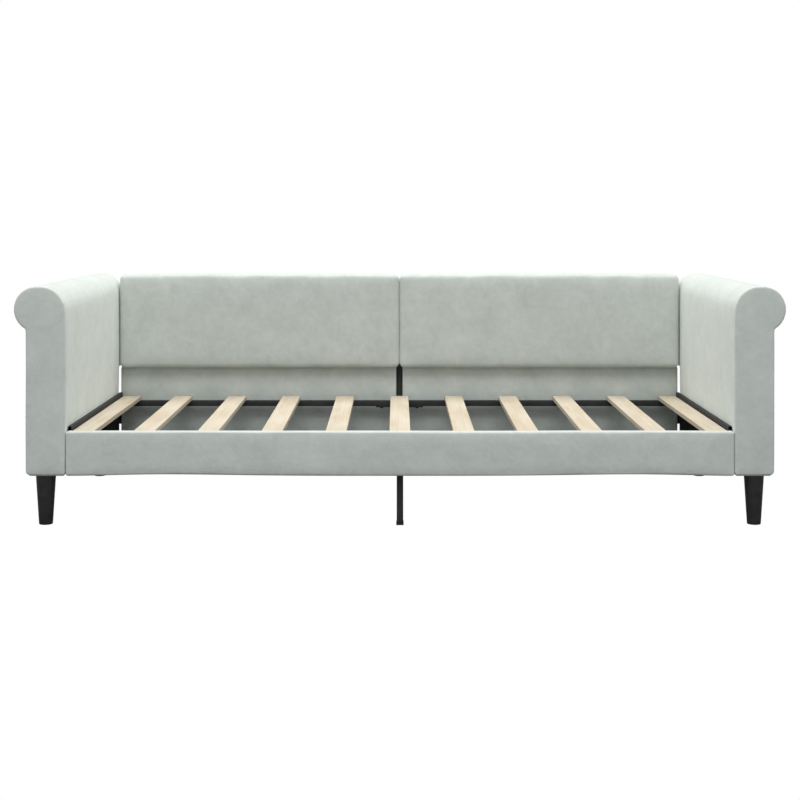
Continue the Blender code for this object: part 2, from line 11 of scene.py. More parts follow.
import bpy
import numpy as np
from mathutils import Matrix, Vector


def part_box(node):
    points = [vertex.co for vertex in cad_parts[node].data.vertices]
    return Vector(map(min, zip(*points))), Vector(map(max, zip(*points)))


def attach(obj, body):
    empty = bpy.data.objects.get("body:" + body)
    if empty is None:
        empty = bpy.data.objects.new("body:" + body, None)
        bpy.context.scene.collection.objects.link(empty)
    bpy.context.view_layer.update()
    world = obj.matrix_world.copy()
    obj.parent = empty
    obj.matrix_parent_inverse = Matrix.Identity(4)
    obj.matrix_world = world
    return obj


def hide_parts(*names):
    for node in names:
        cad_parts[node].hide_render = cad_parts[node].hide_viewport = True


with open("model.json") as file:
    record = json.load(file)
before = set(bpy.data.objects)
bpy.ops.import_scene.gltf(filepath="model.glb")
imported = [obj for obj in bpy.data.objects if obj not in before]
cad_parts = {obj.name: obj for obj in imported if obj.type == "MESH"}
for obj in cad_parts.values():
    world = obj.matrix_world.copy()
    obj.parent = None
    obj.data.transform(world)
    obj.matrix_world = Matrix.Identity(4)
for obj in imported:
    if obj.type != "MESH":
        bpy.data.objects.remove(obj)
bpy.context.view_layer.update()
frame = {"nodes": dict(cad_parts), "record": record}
nodes = frame["nodes"]

MM = 0.001
SIDES = {"left": -1, "right": 1}


# ---------------------------------------------------------------- small tools


def colour(code):
    """sRGB hex code to linear RGBA."""
    channels = [int(code[i : i + 2], 16) / 255 for i in (0, 2, 4)]
    linear = [c / 12.92 if c <= 0.04045 else ((c + 0.055) / 1.055) ** 2.4 for c in channels]
    return (*linear, 1.0)


def add_node(tree, kind, inputs=None, **settings):
    """One shader node, with its settings, and its inputs set or linked by socket name or number.

    An input given as (node, output) is linked, and anything else is the socket's value.
    """
    made = tree.nodes.new(kind)
    for key, value in settings.items():
        setattr(made, key, value)
    for socket, value in (inputs or {}).items():
        if isinstance(value, tuple) and len(value) == 2 and isinstance(value[0], bpy.types.Node):
            tree.links.new(value[0].outputs[value[1]], made.inputs[socket])
        else:
            made.inputs[socket].default_value = value
    return made


def new_material(name):
    """An empty material with its shader, and the tree it is in."""
    material = bpy.data.materials.new(name)
    material.use_nodes = True
    tree = material.node_tree
    return material, tree, tree.nodes["Principled BSDF"]


def set_sockets(shader, **values):
    """Socket values by name, with underscores for spaces."""
    for key, value in values.items():
        shader.inputs[key.replace("_", " ")].default_value = value


def ramp_node(tree, factor, stops):
    """A colour ramp from (place, hex) stops."""
    ramp = add_node(tree, "ShaderNodeValToRGB", {0: factor})
    elements = ramp.color_ramp.elements
    elements[0].position, elements[0].color = stops[0][0], colour(stops[0][1])
    elements[1].position, elements[1].color = stops[-1][0], colour(stops[-1][1])
    for place, code in stops[1:-1]:
        elements.new(place).color = colour(code)
    return ramp


def rough_by(tree, shader, pattern, low, high):
    """Roughness that runs from low to high as a noise pattern goes from 0.3 to 0.7."""
    rough = add_node(
        tree,
        "ShaderNodeMapRange",
        {"Value": (pattern, 0), "From Min": 0.3, "From Max": 0.7, "To Min": low, "To Max": high},
    )
    tree.links.new(rough.outputs[0], shader.inputs["Roughness"])


def mesh_piece(name, points, faces, material, smooth=True):
    """A mesh object at the origin from an array of points and a list or array of faces."""
    mesh = bpy.data.meshes.new(name)
    mesh.from_pydata(np.asarray(points).tolist(), [], [list(map(int, face)) for face in faces])
    mesh.validate()
    mesh.materials.append(material)
    if smooth:
        mesh.shade_smooth()
    piece = bpy.data.objects.new(name, mesh)
    bpy.context.scene.collection.objects.link(piece)
    return piece


def face_out(piece):
    """Recalculate the normals of a closed mesh so that they point outwards."""
    bpy.context.view_layer.objects.active = piece
    bpy.ops.object.mode_set(mode="EDIT")
    bpy.ops.mesh.select_all(action="SELECT")
    bpy.ops.mesh.normals_make_consistent(inside=False)
    bpy.ops.object.mode_set(mode="OBJECT")


def grid_faces(rows, columns, wrap):
    """Quads between neighbouring rows of a grid of points, closed around each row if wrap is set."""
    row = np.arange(rows - 1)[:, None]
    column = np.arange(columns if wrap else columns - 1)[None, :]
    after = (column + 1) % columns
    here, above = row * columns, (row + 1) * columns
    corners = np.broadcast_arrays(here + column, here + after, above + after, above + column)
    return np.stack(corners, axis=-1).reshape(-1, 4)


def carried_profile(name, rings, material, smooth=True):
    """A closed solid: a profile carried along a path, given as rings of points, with a flat cap at each end."""
    rings = np.asarray(rings, float)
    count, around = rings.shape[:2]
    faces = grid_faces(count, around, True).tolist()
    faces.append(list(range(around)))
    faces.append(list(range((count - 1) * around, count * around)))
    piece = mesh_piece(name, rings.reshape(-1, 3), faces, material, smooth)
    face_out(piece)
    return piece


def coordinates(mesh):
    """All of a mesh's points as one array."""
    flat = np.empty(len(mesh.vertices) * 3)
    mesh.vertices.foreach_get("co", flat)
    return flat.reshape(-1, 3)


def set_coordinates(mesh, points):
    """Put an array of points into a mesh."""
    mesh.vertices.foreach_set("co", np.ascontiguousarray(points).ravel())
    mesh.update()


def outward(piece):
    """The unit normal at each point of a piece."""
    flat = np.empty(len(piece.data.vertices) * 3)
    piece.data.vertices.foreach_get("normal", flat)
    return flat.reshape(-1, 3)


def arc_points(centre, radius, start, end, steps):
    """Points on an arc as (a, b) pairs: centre plus radius times cosine and sine of the angle in degrees."""
    angles = np.radians(np.linspace(start, end, steps + 1))
    return np.column_stack([centre[0] + radius * np.cos(angles), centre[1] + radius * np.sin(angles)])


def rounded_rectangle(low, high, radius, steps):
    """Outline of a rectangle from low to high in the plane, with a quarter circle at each corner."""
    a0, b0 = np.asarray(low) + radius
    a1, b1 = np.asarray(high) - radius
    centres = ((a1, b1), (a0, b1), (a0, b0), (a1, b0))
    return np.vstack([arc_points(c, radius, 90 * i, 90 * (i + 1), steps) for i, c in enumerate(centres)])


def smooth_step(values, low, high):
    """0 below low, 1 above high, and the cubic 3t^2 - 2t^3 between them."""
    t = np.clip((values - low) / (high - low), 0.0, 1.0)
    return t * t * (3 - 2 * t)


def ripple(points, wavelength, seed, waves=9):
    """A smooth random field of about -1 to 1: a sum of sine waves with seeded directions and phases."""
    random = np.random.default_rng(seed)
    directions = random.normal(size=(waves, 3))
    directions /= np.linalg.norm(directions, axis=1)[:, None]
    scale = 2 * math.pi / (wavelength * random.uniform(0.7, 1.5, waves))
    phase = random.uniform(0, 2 * math.pi, waves)
    return np.sin(points @ (directions * scale[:, None]).T + phase).sum(axis=1) / math.sqrt(waves)


# ---------------------------------------------------------------- finishes


def velvet(name, nap_axis, tones):
    """Polyester velvet, woven with a short dense pile, in pale grey with a breath of green.

    The pile lies in patches, so light breaks up into soft blotches, and a sheen lifts it at grazing angles.
    nap_axis says which way the faint brush marks run: 0 along X, 1 along Y, 2 along Z. tones are its dark,
    middle and light; the lighter tones of the arm and rail copies are painted light, not a different cut.
    """
    material, tree, shader = new_material(name)
    place = add_node(tree, "ShaderNodeTexCoord")
    blotch = add_node(
        tree,
        "ShaderNodeTexNoise",
        {
            "Vector": (place, "Object"),
            "Scale": 1 / (90 * MM),
            "Detail": 5.0,
            "Roughness": 0.62,
            "Distortion": 0.5,
        },
    )
    patch = add_node(
        tree,
        "ShaderNodeTexNoise",
        {
            "Vector": (place, "Object"),
            "Scale": 1 / (28 * MM),
            "Detail": 3.0,
            "Roughness": 0.6,
            "Distortion": 0.9,
        },
    )
    stretch = [1 / (14 * MM)] * 3
    stretch[nap_axis] = 1 / (120 * MM)
    along = add_node(tree, "ShaderNodeMapping", {"Vector": (place, "Object"), "Scale": stretch})
    brushed = add_node(tree, "ShaderNodeTexNoise", {"Vector": (along, 0), "Scale": 1.0, "Detail": 2.0})
    # pile tufts stand about 0.4 mm apart, drawn at 2.2 mm so that they show
    pile = add_node(
        tree, "ShaderNodeTexNoise", {"Vector": (place, "Object"), "Scale": 1 / (2.2 * MM), "Detail": 1.0}
    )
    lay = add_node(
        tree, "ShaderNodeMix", {"Factor": 0.42, "A": (blotch, 0), "B": (patch, 0)}, data_type="FLOAT"
    )
    lay = add_node(tree, "ShaderNodeMix", {"Factor": 0.07, "A": (lay, 0), "B": (brushed, 0)}, data_type="FLOAT")
    lay = add_node(tree, "ShaderNodeMix", {"Factor": 0.10, "A": (lay, 0), "B": (pile, 0)}, data_type="FLOAT")
    tone = ramp_node(tree, (lay, 0), list(zip((0.34, 0.50, 0.66), tones)))
    tree.links.new(tone.outputs[0], shader.inputs["Base Color"])
    rough_by(tree, shader, lay, 0.95, 0.8)
    set_sockets(
        shader,
        Sheen_Weight=0.55,
        Sheen_Roughness=0.45,
        Sheen_Tint=colour("F2F6F0"),
        Specular_IOR_Level=0.15,
        IOR=1.5,
    )
    fine = add_node(tree, "ShaderNodeBump", {"Height": (pile, 0), "Strength": 0.35, "Distance": 0.5 * MM})
    soft = add_node(
        tree, "ShaderNodeBump", {"Height": (patch, 0), "Strength": 0.5, "Distance": 1.2 * MM, "Normal": (fine, 0)}
    )
    tree.links.new(soft.outputs[0], shader.inputs["Normal"])
    return material


def slat_birch():
    """Birch plywood slats, planed and left plain: cream, with long fine grain along Y and a dull surface."""
    material, tree, shader = new_material("planed_birch")
    place = add_node(tree, "ShaderNodeTexCoord")
    # growth lines about 2 mm apart and hundreds of millimetres long
    lines = add_node(
        tree,
        "ShaderNodeMapping",
        {"Vector": (place, "Object"), "Scale": (1 / (5 * MM), 1 / (420 * MM), 1 / (9 * MM))},
    )
    grain = add_node(
        tree,
        "ShaderNodeTexNoise",
        {"Vector": (lines, 0), "Scale": 1.0, "Detail": 5.0, "Roughness": 0.6, "Distortion": 0.6},
    )
    broad = add_node(
        tree,
        "ShaderNodeMapping",
        {"Vector": (place, "Object"), "Scale": (1 / (60 * MM), 1 / (260 * MM), 1 / (60 * MM))},
    )
    figure = add_node(tree, "ShaderNodeTexNoise", {"Vector": (broad, 0), "Scale": 1.0, "Detail": 3.0})
    mixed = add_node(
        tree, "ShaderNodeMix", {"Factor": 0.5, "A": (grain, 0), "B": (figure, 0)}, data_type="FLOAT"
    )
    tone = ramp_node(tree, (mixed, 0), [(0.30, "BFAD92"), (0.46, "CDBFA8"), (0.58, "D6CBB8"), (0.75, "DDD3C3")])
    tree.links.new(tone.outputs[0], shader.inputs["Base Color"])
    bump = add_node(tree, "ShaderNodeBump", {"Height": (grain, 0), "Strength": 0.25, "Distance": 0.3 * MM})
    tree.links.new(bump.outputs[0], shader.inputs["Normal"])
    set_sockets(shader, Roughness=0.62, IOR=1.5, Specular_IOR_Level=0.35)
    return material


def frame_pine():
    """Sawn pine boards, out of sight inside the upholstery: yellow brown, with coarse grain along Y."""
    material, tree, shader = new_material("sawn_pine")
    place = add_node(tree, "ShaderNodeTexCoord")
    lines = add_node(
        tree,
        "ShaderNodeMapping",
        {"Vector": (place, "Object"), "Scale": (1 / (12 * MM), 1 / (300 * MM), 1 / (12 * MM))},
    )
    grain = add_node(
        tree, "ShaderNodeTexNoise", {"Vector": (lines, 0), "Scale": 1.0, "Detail": 4.0, "Distortion": 0.8}
    )
    tone = ramp_node(tree, (grain, 0), [(0.3, "A87F4B"), (0.5, "C69F6A"), (0.7, "D9B985")])
    tree.links.new(tone.outputs[0], shader.inputs["Base Color"])
    bump = add_node(tree, "ShaderNodeBump", {"Height": (grain, 0), "Strength": 0.4, "Distance": 0.4 * MM})
    tree.links.new(bump.outputs[0], shader.inputs["Normal"])
    set_sockets(shader, Roughness=0.75)
    return material


def roll_card():
    """Grey-brown millboard, wound into a tube: matt, with faint fibres around it."""
    material, tree, shader = new_material("wound_millboard")
    place = add_node(tree, "ShaderNodeTexCoord")
    fibre = add_node(
        tree, "ShaderNodeTexNoise", {"Vector": (place, "Object"), "Scale": 1 / (3 * MM), "Detail": 4.0}
    )
    tone = ramp_node(tree, (fibre, 0), [(0.35, "8A7659"), (0.65, "A48F6E")])
    tree.links.new(tone.outputs[0], shader.inputs["Base Color"])
    set_sockets(shader, Roughness=0.9)
    return material


def lacquered_leg():
    """Turned beech under black satin lacquer: soft highlights, with the faintest trace of the turning."""
    material, tree, shader = new_material("black_satin_lacquer")
    place = add_node(tree, "ShaderNodeTexCoord")
    turned = add_node(
        tree,
        "ShaderNodeMapping",
        {"Vector": (place, "Object"), "Scale": (1 / (30 * MM), 1 / (30 * MM), 1 / (1.5 * MM))},
    )
    marks = add_node(tree, "ShaderNodeTexNoise", {"Vector": (turned, 0), "Scale": 1.0, "Detail": 2.0})
    cloud = add_node(
        tree, "ShaderNodeTexNoise", {"Vector": (place, "Object"), "Scale": 1 / (25 * MM), "Detail": 3.0}
    )
    tone = ramp_node(tree, (cloud, 0), [(0.3, "202122"), (0.7, "2B2C2D")])
    tree.links.new(tone.outputs[0], shader.inputs["Base Color"])
    rough_by(tree, shader, cloud, 0.30, 0.40)
    bump = add_node(tree, "ShaderNodeBump", {"Height": (marks, 0), "Strength": 0.15, "Distance": 0.2 * MM})
    tree.links.new(bump.outputs[0], shader.inputs["Normal"])
    set_sockets(shader, IOR=1.5, Coat_Weight=0.4, Coat_Roughness=0.22)
    return material


def powder_coat():
    """Mild steel under black polyester powder coat: satin, with a fine orange peel."""
    material, tree, shader = new_material("black_powder_coat")
    place = add_node(tree, "ShaderNodeTexCoord")
    peel = add_node(
        tree, "ShaderNodeTexNoise", {"Vector": (place, "Object"), "Scale": 1 / (1.8 * MM), "Detail": 2.0}
    )
    rub = add_node(
        tree, "ShaderNodeTexNoise", {"Vector": (place, "Object"), "Scale": 1 / (60 * MM), "Detail": 4.0}
    )
    tone = ramp_node(tree, (rub, 0), [(0.3, "2E2E2E"), (0.7, "3B3B3B")])
    tree.links.new(tone.outputs[0], shader.inputs["Base Color"])
    rough_by(tree, shader, rub, 0.6, 0.72)
    bump = add_node(tree, "ShaderNodeBump", {"Height": (peel, 0), "Strength": 0.2, "Distance": 0.15 * MM})
    tree.links.new(bump.outputs[0], shader.inputs["Normal"])
    set_sockets(shader, IOR=1.5, Specular_IOR_Level=0.25)
    return material


def dust_lining():
    """Spunbond polypropylene lining, pressed with a lattice of points: black, matt and a little furry."""
    material, tree, shader = new_material("black_spunbond")
    place = add_node(tree, "ShaderNodeTexCoord")
    # weld points stand about 1.5 mm apart, drawn at 4 mm so that they show
    points = add_node(
        tree, "ShaderNodeTexVoronoi", {"Vector": (place, "Object"), "Scale": 1 / (4 * MM), "Randomness": 0.15}
    )
    fibre = add_node(
        tree, "ShaderNodeTexNoise", {"Vector": (place, "Object"), "Scale": 1 / (12 * MM), "Detail": 6.0}
    )
    tone = ramp_node(tree, (fibre, 0), [(0.3, "171412"), (0.7, "26221F")])
    tree.links.new(tone.outputs[0], shader.inputs["Base Color"])
    bump = add_node(tree, "ShaderNodeBump", {"Height": (points, 0), "Strength": 0.4, "Distance": 0.4 * MM})
    tree.links.new(bump.outputs[0], shader.inputs["Normal"])
    set_sockets(shader, Roughness=0.9, Specular_IOR_Level=0.2)
    return material


def zinc_plate():
    """Steel under bright zinc: grey, a little blue, with cloudy roughness."""
    material, tree, shader = new_material("zinc_plated_steel")
    place = add_node(tree, "ShaderNodeTexCoord")
    cloud = add_node(
        tree, "ShaderNodeTexNoise", {"Vector": (place, "Object"), "Scale": 1 / (4 * MM), "Detail": 3.0}
    )
    rough_by(tree, shader, cloud, 0.25, 0.45)
    set_sockets(shader, Base_Color=colour("C3C6CB"), Metallic=1.0)
    return material


def moulded_cap():
    """Injection-moulded black polyethylene: fine spark-eroded grain, semi-matt."""
    material, tree, shader = new_material("black_polyethylene")
    place = add_node(tree, "ShaderNodeTexCoord")
    grain = add_node(
        tree, "ShaderNodeTexNoise", {"Vector": (place, "Object"), "Scale": 1 / (1.2 * MM), "Detail": 2.0}
    )
    tone = ramp_node(tree, (grain, 0), [(0.3, "161616"), (0.7, "1E1E1E")])
    tree.links.new(tone.outputs[0], shader.inputs["Base Color"])
    bump = add_node(tree, "ShaderNodeBump", {"Height": (grain, 0), "Strength": 0.2, "Distance": 0.1 * MM})
    tree.links.new(bump.outputs[0], shader.inputs["Normal"])
    set_sockets(shader, Roughness=0.5, IOR=1.5)
    return material


def studio_floor():
    """A pale floor, matt and even. It looks evenly white, and bounces only a moderate light back."""
    material, tree, shader = new_material("pale_studio_floor")
    set_sockets(shader, Base_Color=colour("5E5E5E"), Roughness=1.0, Specular_IOR_Level=0.0)
    glow = add_node(tree, "ShaderNodeEmission", {"Color": (1.0, 1.0, 1.0, 1.0), "Strength": 1.0})
    ray = add_node(tree, "ShaderNodeLightPath")
    both = add_node(tree, "ShaderNodeMixShader", {0: (ray, "Is Camera Ray"), 1: (shader, 0), 2: (glow, 0)})
    tree.links.new(both.outputs[0], tree.nodes["Material Output"].inputs["Surface"])
    return material


# the arm and rail copies get lighter tones than the back's: painted light, lit copies of the same velvet
VELVET_ARM_PAINTED_LIGHTER = velvet("pale_velvet_arm_painted_lighter", 2, ("C4CCC6", "CED5D0", "D7DDD9"))
VELVET_RAIL_PAINTED_LIGHTER = velvet("pale_velvet_rail_painted_lighter", 0, ("C4CCC6", "CED5D0", "D7DDD9"))
VELVET_BACK = velvet("pale_velvet_back", 0, ("BDC5BF", "C7CEC9", "D0D7D2"))
BIRCH = slat_birch()
PINE = frame_pine()
CARD = roll_card()
LACQUER = lacquered_leg()
COATED = powder_coat()
LINING = dust_lining()
ZINC = zinc_plate()
CAP = moulded_cap()

FINISH_OF_SLOT = {
    "slat_wood": BIRCH,
    "frame_wood": PINE,
    "roll_card": CARD,
    "leg_black": LACQUER,
    "black_steel": COATED,
    "black_lining": LINING,
    "plated_steel": ZINC,
    "black_plastic": CAP,
    "velvet": VELVET_BACK,
}
for part in frame["record"]["subparts"]:
    node = nodes[part["node"]]
    node.data.materials.clear()
    node.data.materials.append(FINISH_OF_SLOT[part["material_slot"]])


# ---------------------------------------------------------------- upholstery

# Section of an arm. u runs outwards from the arm's inner face.
ARM_THICKNESS = 122 * MM
ROLL_RADIUS = 71 * MM
FRONT_CURVE = 76 * MM  # of the inner top edge
REAR_CURVE = 66 * MM
ARM_EDGE = 4 * MM  # rounding of the front and rear rims, before the remesh softens it
ARM_FOOT = 15 * MM
REBATE_WIDTH = 20 * MM
ARM_SKIN = 2.0 * MM  # the skin starts this far inside and is puffed out again
UNDER = 0.3 * MM  # upholstery reaches this far past the boards that it wraps
BEHIND = 0.2 * MM  # and this far behind them
PAD_SKIN = 1.5 * MM  # as ARM_SKIN, for pads, covers and rail
PRESS_DEPTH = 6 * MM  # a face this near to a plane can be pressed onto it
LEAST_CORNER = 0.3 * MM
SQUARE = (0.8, 0.95)  # ends and edges pressed flat
EASED = (0.95, 0.995)  # only the middle of each face pressed flat, so that corners stay round

arm_low, arm_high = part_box("arm_right_cover")
INNER = arm_low.x  # inner faces of the arms
FRONT = arm_low.y
REAR = arm_high.y
lining_low, lining_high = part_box("arm_right_lining")
REBATE_START = lining_high.y
REBATE_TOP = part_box("back_right_pad")[0].z
bar_low, bar_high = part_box("end_bar_right")


def arm_section(inset, curve):
    """Closed outline of an arm as (u, height): up the inner face, a quarter circle, a flat, three quarters
    of the roll, the outer face and a rounded foot, all drawn in by inset."""
    top = arm_high.z
    roll_u = (arm_high.x - INNER) - ROLL_RADIUS
    roll_z = top - ROLL_RADIUS
    outer = ARM_THICKNESS - inset
    bottom = arm_low.z + inset
    roll = ROLL_RADIUS - inset
    under = math.degrees(math.acos((outer - roll_u) / roll))
    foot = max(ARM_FOOT - inset, 1 * MM)
    return np.vstack(
        [
            [[inset, bottom]],
            arc_points((curve, top - curve), curve - inset, 180, 90, 14),
            arc_points((roll_u, roll_z), roll, 90, -under, 30),
            arc_points((outer - foot, bottom + foot), foot, 0, -90, 5),
        ]
    )


def cut_away(piece, low, high):
    """Cut a box out of a closed mesh."""
    x, y, z = zip(low, high)
    corners = [(x[i], y[j], z[k]) for k in (0, 1) for j in (0, 1) for i in (0, 1)]
    faces = [(0, 2, 3, 1), (4, 5, 7, 6), (0, 1, 5, 4), (2, 6, 7, 3), (0, 4, 6, 2), (1, 3, 7, 5)]
    cutter = mesh_piece("cutter", corners, faces, VELVET_ARM_PAINTED_LIGHTER, False)
    face_out(cutter)
    cut = piece.modifiers.new("cut", "BOOLEAN")
    cut.object = cutter
    cut.operation = "DIFFERENCE"
    cut.solver = "EXACT"
    bpy.context.view_layer.objects.active = piece
    bpy.ops.object.modifier_apply(modifier="cut")
    bpy.data.objects.remove(cutter, do_unlink=True)


def arm_shape(name, side):
    """The arm's skin: its section carried from front to rear, drawn in along quarter circles at both rims,
    with the inner rear corner cut away below the back pads."""
    turns = np.radians(np.linspace(0, 90, 5))
    insets = ARM_SKIN + ARM_EDGE * (1 - np.sin(turns))
    offsets = ARM_SKIN + ARM_EDGE * (1 - np.cos(turns))
    stations = [(inset, FRONT_CURVE, FRONT + offset) for inset, offset in zip(insets, offsets)]
    stations += [(inset, REAR_CURVE, REAR - offset) for inset, offset in zip(insets[::-1], offsets[::-1])]
    rings = []
    for inset, curve, y in stations:
        outline = arm_section(inset, curve)
        x = side * (INNER + outline[:, 0])
        rings.append(np.column_stack([x, np.full(len(x), y), outline[:, 1]]))
    piece = carried_profile(name, rings, VELVET_ARM_PAINTED_LIGHTER)
    across = sorted([side * (INNER - 50 * MM), side * (INNER + REBATE_WIDTH + ARM_SKIN)])
    cut_away(
        piece,
        (across[0], REBATE_START - ARM_SKIN, arm_low.z - 50 * MM),
        (across[1], REAR + 50 * MM, REBATE_TOP + ARM_SKIN),
    )
    return piece


def rounded_block(name, low, high, radius, material, end_radius=None):
    """A block with rounded edges: a rounded rectangle in Y and Z carried along X, drawn in at both ends
    along quarter circles."""
    end_radius = end_radius or radius
    turns = np.radians(np.linspace(0, 90, 6))
    insets = end_radius * (1 - np.sin(turns))
    offsets = end_radius * (1 - np.cos(turns))
    stations = [(inset, low[0] + offset) for inset, offset in zip(insets, offsets)]
    stations += [(inset, high[0] - offset) for inset, offset in zip(insets[::-1], offsets[::-1])]
    rings = []
    for inset, x in stations:
        corner = max(radius - inset, LEAST_CORNER)
        outline = rounded_rectangle(np.array(low[1:]) + inset, np.array(high[1:]) - inset, corner, 5)
        rings.append(np.column_stack([np.full(len(outline), x), outline]))
    return carried_profile(name, rings, material)


def puff(piece, voxel, cap, pressure=4.0, frames=7):
    """Remesh a skin evenly and let cloth under inner pressure swell it.

    The movement along the normals is scaled so that its 95th percentile is cap, which is also its most, and
    no point moves in.
    """
    bpy.context.view_layer.objects.active = piece
    piece.data.remesh_voxel_size = voxel
    piece.data.remesh_voxel_adaptivity = 0.0
    bpy.ops.object.voxel_remesh()
    rest = coordinates(piece.data)
    normals = outward(piece)
    cloth = piece.modifiers.new("cloth", "CLOTH")
    cloth.settings.quality = 3
    cloth.settings.mass = 0.3
    cloth.settings.tension_stiffness = 25
    cloth.settings.compression_stiffness = 25
    cloth.settings.shear_stiffness = 10
    cloth.settings.bending_stiffness = 2.0
    cloth.settings.use_pressure = True
    cloth.settings.uniform_pressure_force = pressure
    cloth.settings.effector_weights.gravity = 0.0
    cloth.collision_settings.use_collision = False
    cloth.point_cache.frame_start = 1
    cloth.point_cache.frame_end = frames
    for step in range(1, frames + 1):
        bpy.context.scene.frame_set(step)
    evaluated = piece.evaluated_get(bpy.context.evaluated_depsgraph_get())
    swollen = coordinates(evaluated.data)
    piece.modifiers.remove(cloth)
    bpy.context.scene.frame_set(1)
    along = ((swollen - rest) * normals).sum(axis=1)
    share = np.clip(along / np.percentile(along, 95), 0, 1)
    return rest + normals * (cap * share)[:, None]


def fit(points, low, high):
    """Stretch points so that their own box becomes the box from low to high."""
    own_low, own_high = points.min(axis=0), points.max(axis=0)
    return np.array(low) + (points - own_low) * ((np.array(high) - np.array(low)) / (own_high - own_low))


def finish_skin(piece, points, levels=1):
    """Put the points into the mesh and smooth it with one subdivision."""
    set_coordinates(piece.data, points)
    piece.data.shade_smooth()
    smooth = piece.modifiers.new("finer", "SUBSURF")
    smooth.levels = levels
    smooth.render_levels = levels


def flatten(points, normals, axis, direction, plane, start=0.8, full=0.95, share=1.0):
    """Move the faces that look along a direction of an axis onto a plane, the more the squarer they look."""
    share = share * smooth_step(normals[:, axis] * direction, start, full)
    near = np.abs(points[:, axis] - plane) < PRESS_DEPTH
    points[:, axis] += (plane - points[:, axis]) * share * near


def make_arm(side_name, side):
    """One velvet arm. Its inner face stays behind the steel end bar, and below that bar it sits back
    behind the black lining."""
    node_name = f"arm_{side_name}_cover"
    low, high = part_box(node_name)
    bottom = low.z - UNDER
    curve_start = high.z - FRONT_CURVE
    piece = arm_shape(f"velvet_arm_{side_name}", side)
    points = puff(piece, 6 * MM, 2.4 * MM)
    points = fit(points, (low.x, low.y, bottom), (high.x, high.y, high.z))
    normals = outward(piece)
    straight = 1 - smooth_step(points[:, 2], curve_start - 40 * MM, curve_start + 4 * MM)
    flatten(points, normals, 2, -1, bottom, 0.92, 0.99)
    flatten(points, normals, 0, -side, side * (INNER + REBATE_WIDTH), share=straight)
    flatten(points, normals, 1, 1, REBATE_START)
    flatten(points, normals, 0, -side, side * INNER, share=straight)
    loose = np.abs(normals[:, 2]) < 0.9
    points += normals * (0.5 * MM * ripple(points, 260 * MM, 11 + side) * loose)[:, None]
    # how far the inner face sits back, in mm: more beside the end bar and behind the lining
    u = side * points[:, 0] - INNER
    behind_rail = smooth_step(points[:, 1], lining_low.y - 2 * MM, lining_low.y + 6 * MM)
    bar_room = 1 - smooth_step(points[:, 2], bar_high.z + 2 * MM, bar_high.z + 40 * MM)
    lining_room = 1 - smooth_step(points[:, 2], lining_high.z - 2 * MM, lining_high.z + 3 * MM)
    room = 0.9 * bar_room + 1.2 * behind_rail * lining_room - 0.3
    inner_face = u < 8 * MM
    u = np.where(inner_face, u + room * MM, u)
    points[:, 0] = side * (INNER + u)
    points[:, 2] = np.maximum(points[:, 2], bottom)
    finish_skin(piece, points)
    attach(piece, "root")
    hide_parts(node_name)


def make_block_pad(
    name,
    replaced,
    low,
    high,
    *,
    radius,
    end_radius,
    voxel,
    cap,
    seed,
    crowned,
    pressed=SQUARE,
    shape=None,
    cloth=VELVET_BACK,
    notch=None,
):
    """A padded panel from a rounded block, with a notch, given as the corners of a box, cut out first.

    Its front stands proud by crowned at the middle and falls to nothing at the edges, as 1 minus the eighth
    power of the way across times 1 minus the fourth power of the way up. shape changes its points last.
    """
    low, high = np.array(low), np.array(high)
    piece = rounded_block(name, low + PAD_SKIN, high - PAD_SKIN, radius, cloth, end_radius)
    if notch:
        cut_away(piece, *notch)
    points = puff(piece, voxel, cap)
    points = fit(points, low, high)
    normals = outward(piece)
    for axis in range(3):
        flatten(points, normals, axis, 1, high[axis], *pressed)
        if axis != 1:
            flatten(points, normals, axis, -1, low[axis], *(pressed if axis == 0 else SQUARE))
    facing = smooth_step(-normals[:, 1], 0.8, 0.98)
    points[:, 1] -= 0.6 * MM * ripple(points, 170 * MM, seed) * facing
    way = (points - low) / (high - low) * 2 - 1
    dome = (1 - np.abs(way[:, 0]) ** 8) * (1 - np.abs(way[:, 2]) ** 4)
    points[:, 1] -= crowned * dome * facing
    if shape:
        points = shape(points)
    finish_skin(piece, points)
    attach(piece, "root")
    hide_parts(replaced)


def across_bed(low, high, side, seam, outer):
    """The ends of a piece in X, moved out by seam at the middle of the bed and by outer at the arm."""
    return (low.x - outer, high.x + seam) if side < 0 else (low.x - seam, high.x + outer)


def make_back_pad(side_name, side):
    """The upper pad of one half of the back. It wraps the board, and leaves a notch for the rear post."""
    pad_low, pad_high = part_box(f"back_{side_name}_pad")
    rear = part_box(f"back_{side_name}_board")[1].y + BEHIND
    start, end = across_bed(pad_low, pad_high, side, UNDER, 1.2 * MM)
    middle, half = (start + end) / 2, (end - start) / 2

    post_low, post_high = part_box("rear_centre_post")
    room = 5 * MM  # around the post, most of which the swelling takes up
    past = 20 * MM  # the cut runs this far past the pad
    notch_start, notch_end = sorted([-side * past, side * (post_high.x + room)])
    notch = (
        (notch_start, post_low.y - room, pad_low.z - past),
        (notch_end, post_high.y + past, post_high.z + room),
    )

    def crown(points):
        """The top edge swells towards its middle: 1 minus the square of the way from it."""
        way = np.clip((points[:, 0] - middle) / half, -1, 1)
        share = smooth_step(points[:, 2], pad_low.z + 60 * MM, pad_high.z)
        points[:, 2] += (2.5 * MM * (1 - way**2) - 1.0 * MM) * share
        return points

    make_block_pad(
        f"velvet_back_pad_{side_name}",
        f"back_{side_name}_pad",
        (start, pad_low.y, pad_low.z),
        (end, rear, pad_high.z),
        radius=14 * MM,
        end_radius=12 * MM,
        voxel=6 * MM,
        cap=2.5 * MM,
        seed=31 + side,
        crowned=2 * MM,
        pressed=EASED,
        shape=crown,
        notch=notch,
    )


